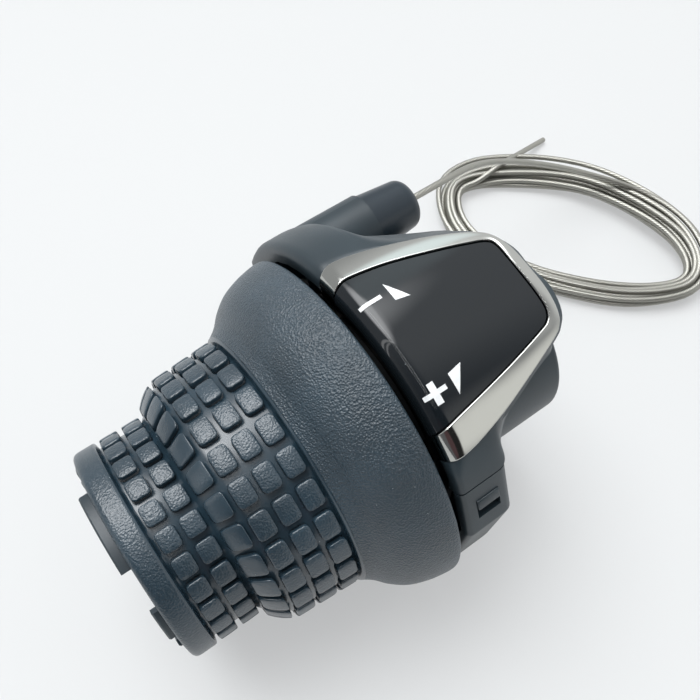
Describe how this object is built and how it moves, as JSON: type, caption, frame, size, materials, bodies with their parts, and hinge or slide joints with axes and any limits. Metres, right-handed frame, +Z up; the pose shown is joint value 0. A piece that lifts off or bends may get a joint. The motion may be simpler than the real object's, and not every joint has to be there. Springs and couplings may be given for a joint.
{
  "type": "twist grip shifter",
  "caption": "Left-hand friction twist shifter for a bicycle handlebar: a ribbed rubber grip turns on a sleeve and winds a cable, beside a clamped housing with a glossy panel.",
  "frame": {"origin": "on the handlebar's centre line, in the plane between the turning grip and the fixed housing", "axes": "+X along the handlebar towards the stem, +Y forward away from the rider, +Z up"},
  "size_m": [0.1338, 0.0743, 0.0567],
  "materials": {
    "housing_plastic": "moulded, fine texture",
    "core_plastic": "moulded, satin",
    "grip_rubber": "moulded, leather grain",
    "panel_gloss": "polished",
    "trim_chrome": "bright plated",
    "zinc_steel": "zinc plated",
    "spring_steel": "oiled",
    "cable_steel": "stranded, bare",
    "reel_plastic": "moulded acetal",
    "liner_plastic": "moulded nylon",
    "friction_fibre": "pressed fibre"
  },
  "bodies": {
    "housing": {"base_body": "housing_plastic", "top_cover": "housing_plastic", "bottom_cover": "housing_plastic", "display_panel": "panel_gloss", "chrome_trim": "trim_chrome", "cable_guide": "liner_plastic", "cable_stop": "housing_plastic", "clamp_bolt": "zinc_steel", "clamp_washer": "zinc_steel", "clamp_nut": "zinc_steel", "cover_screws": "zinc_steel", "friction_washer": "friction_fibre", "friction_spring": "spring_steel", "thrust_washer": "liner_plastic", "retaining_ring": "spring_steel", "cable_inner": "cable_steel", "cable_run": "cable_steel", "cable_coil": "cable_steel", "cable_tail": "cable_steel"},
    "grip": {"grip_core": "core_plastic", "grip_rubber": "grip_rubber", "cable_reel": "reel_plastic", "cable_nipple": "zinc_steel", "cable_wrap": "cable_steel"}
  },
  "joints": [
    {"name": "grip_twist", "type": "hinge", "parent": "housing", "child": "grip", "pos_m": [0, 0, 0], "axis": [1, 0, 0], "range_deg": [0, 100]}
  ]
}
